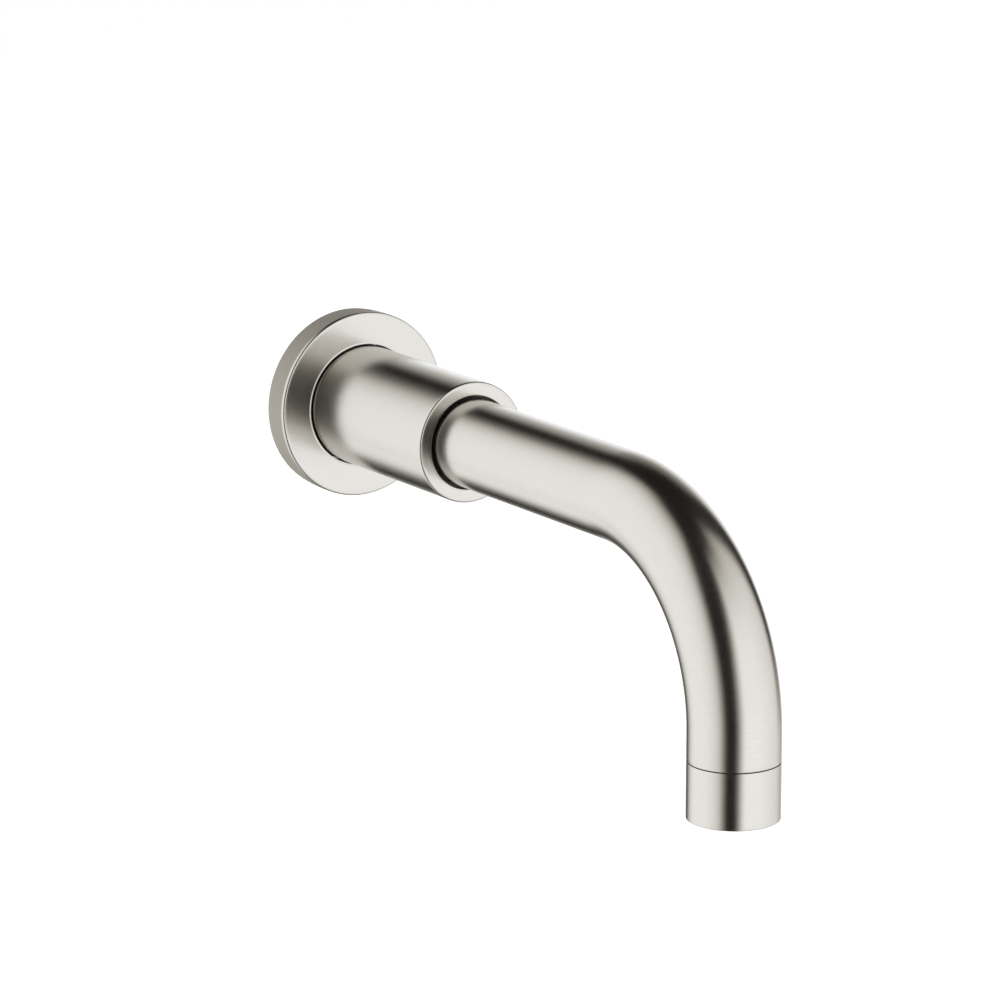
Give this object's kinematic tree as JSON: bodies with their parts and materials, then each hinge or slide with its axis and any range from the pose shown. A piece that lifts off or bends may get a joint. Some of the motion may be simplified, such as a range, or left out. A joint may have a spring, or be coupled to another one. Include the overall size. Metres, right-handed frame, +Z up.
{
  "type": "wall mounted bath spout",
  "caption": "Wall mounted bath spout: a bent round tube with a screw-on outlet collar, leaving the wall through a cylindrical cover sleeve and a round rosette.",
  "frame": {"origin": "where the inlet thread's axis crosses the finished wall, which is the plane y = 0", "axes": "+Z up; the spout stands out from the wall along -Y and its outlet points down; +Y goes into the wall; +X to the right seen from the room"},
  "size_m": [0.06, 0.2444, 0.115],
  "materials": {
    "brushed_nickel": "fine brushed warm nickel, satin",
    "turned_brass": "plain turned brass",
    "nut_brass": "plain milled brass",
    "stainless": "plain spring steel",
    "steel_mesh": "woven stainless wire",
    "black_rubber": "matt black rubber",
    "washer_fibre": "pressed fibre sheet",
    "grey_foam": "closed cell foam",
    "black_plastic": "black acetal",
    "pale_plastic": "pale grey moulded acetal"
  },
  "bodies": {
    "wall_fitting": {"inlet_nipple": "turned_brass", "nipple_wall_seal": "black_rubber", "centring_o_ring": "black_rubber", "union_washer": "washer_fibre"},
    "union_slip": {"slip_ring": "stainless"},
    "union_nut": {"union_nut": "nut_brass"},
    "spout": {"tail_piece": "turned_brass", "spout_tube": "brushed_nickel", "outlet_bush": "turned_brass", "seam_seal": "black_rubber"},
    "sleeve": {"cover_sleeve": "brushed_nickel", "guide_bush": "black_plastic", "guide_o_rings": "black_rubber", "guide_circlip": "stainless"},
    "rosette": {"rosette": "brushed_nickel", "rosette_o_ring": "black_rubber", "wall_gasket": "grey_foam"},
    "aerator": {"aerator_washer": "black_rubber", "aerator_cage": "pale_plastic", "inlet_screen": "steel_mesh", "jet_plate": "pale_plastic", "mixing_screens": "steel_mesh", "screen_spacers": "pale_plastic", "flow_straightener": "pale_plastic"},
    "collar": {"outlet_collar": "brushed_nickel"}
  },
  "joints": [
    {"name": "spout_turn", "type": "hinge", "parent": "wall_fitting", "child": "spout", "pos_m": [0, 0, 0], "axis": [0, -1, 0], "range_deg": [-90, 90]},
    {"name": "nut_advance", "type": "slide", "parent": "wall_fitting", "child": "union_slip", "axis": [0, -1, 0], "range_m": [0, 0.00907]},
    {"name": "nut_turn", "type": "hinge", "parent": "union_slip", "child": "union_nut", "pos_m": [0, -0.0216, 0], "axis": [0, -1, 0], "range_deg": [0, 1800]},
    {"name": "sleeve_slide", "type": "slide", "parent": "spout", "child": "sleeve", "axis": [0, -1, 0], "range_m": [0, 0.076]},
    {"name": "rosette_slide", "type": "slide", "parent": "sleeve", "child": "rosette", "axis": [0, -1, 0], "range_m": [0, 0.06]},
    {"name": "aerator_drop", "type": "slide", "parent": "spout", "child": "aerator", "axis": [0, 0, -1], "range_m": [0, 0.007]},
    {"name": "collar_turn", "type": "hinge", "parent": "aerator", "child": "collar", "pos_m": [0, -0.2154, -0.08], "axis": [0, 0, -1], "range_deg": [0, 2520]}
  ],
  "couplings": [
    {"joint": "nut_advance", "follows": "nut_turn", "m_per_rad": 0.0002887},
    {"joint": "aerator_drop", "follows": "collar_turn", "m_per_rad": 0.00015915}
  ]
}
